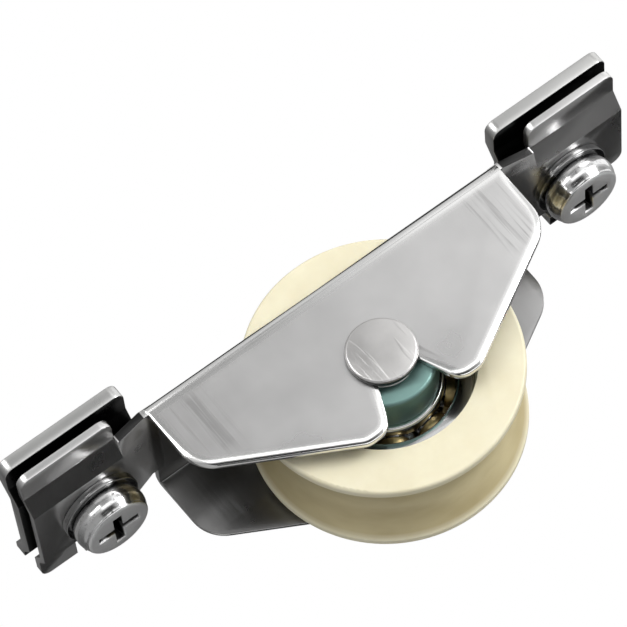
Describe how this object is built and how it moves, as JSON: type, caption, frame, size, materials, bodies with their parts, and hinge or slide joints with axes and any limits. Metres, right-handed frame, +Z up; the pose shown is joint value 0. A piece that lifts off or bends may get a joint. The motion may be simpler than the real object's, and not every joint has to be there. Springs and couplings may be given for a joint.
{
  "type": "sliding door roller",
  "caption": "Sliding door roller: a grooved nylon wheel on a ball bearing in a folded steel channel, with screw-clamped ears that grip the door's bottom rail.",
  "frame": {"origin": "centre of the wheel, on its axis and midway between the side plates", "axes": "+X along the track, +Y along the axle towards the rear side plate, +Z up, away from the track"},
  "size_m": [0.0892, 0.025, 0.0358],
  "materials": {
    "sheet_steel": "satin",
    "clamp_steel": "satin",
    "axle_steel": "satin",
    "collar_finish": "satin",
    "bearing_steel": "polished",
    "cage_brass": "satin",
    "plated_steel": "polished",
    "nylon": "satin"
  },
  "bodies": {
    "housing": {"frame": "sheet_steel", "axle_pin": "axle_steel", "front_collar": "collar_finish", "rear_collar": "collar_finish", "bearing_inner_ring": "bearing_steel", "screw_washer_left": "plated_steel", "screw_washer_right": "plated_steel"},
    "wheel_assembly": {"wheel": "nylon", "bearing_outer_ring": "bearing_steel"},
    "ball_set": {"bearing_balls": "bearing_steel", "bearing_cage_front": "cage_brass", "bearing_cage_rear": "cage_brass", "cage_rivets": "cage_brass"},
    "screw_left": {"clamp_screw_left": "plated_steel"},
    "screw_right": {"clamp_screw_right": "plated_steel"},
    "clamp_left": {"clamp_plate_left": "clamp_steel", "clamp_nut_left": "plated_steel"},
    "clamp_right": {"clamp_plate_right": "clamp_steel", "clamp_nut_right": "plated_steel"}
  },
  "joints": [
    {"name": "wheel_spin", "type": "hinge", "parent": "housing", "child": "wheel_assembly", "pos_m": [0, 0, 0], "axis": [0, 1, 0], "continuous": true},
    {"name": "cage_spin", "type": "hinge", "parent": "housing", "child": "ball_set", "pos_m": [0, 0, 0], "axis": [0, 1, 0], "continuous": true},
    {"name": "screw_left_turn", "type": "hinge", "parent": "housing", "child": "screw_left", "pos_m": [-0.0355, 0.0005, 0.00875], "axis": [0, 0, -1], "range_deg": [0, 900]},
    {"name": "clamp_left_lift", "type": "slide", "parent": "housing", "child": "clamp_left", "axis": [0, 0, 1], "range_m": [0, 0.002]},
    {"name": "screw_right_turn", "type": "hinge", "parent": "housing", "child": "screw_right", "pos_m": [0.0355, 0.0005, 0.00875], "axis": [0, 0, -1], "range_deg": [0, 900]},
    {"name": "clamp_right_lift", "type": "slide", "parent": "housing", "child": "clamp_right", "axis": [0, 0, 1], "range_m": [0, 0.002]}
  ],
  "couplings": [
    {"joint": "cage_spin", "follows": "wheel_spin", "ratio": 0.6139},
    {"joint": "screw_left_turn", "follows": "clamp_left_lift", "rad_per_m": 7854},
    {"joint": "screw_right_turn", "follows": "clamp_right_lift", "rad_per_m": 7854}
  ]
}
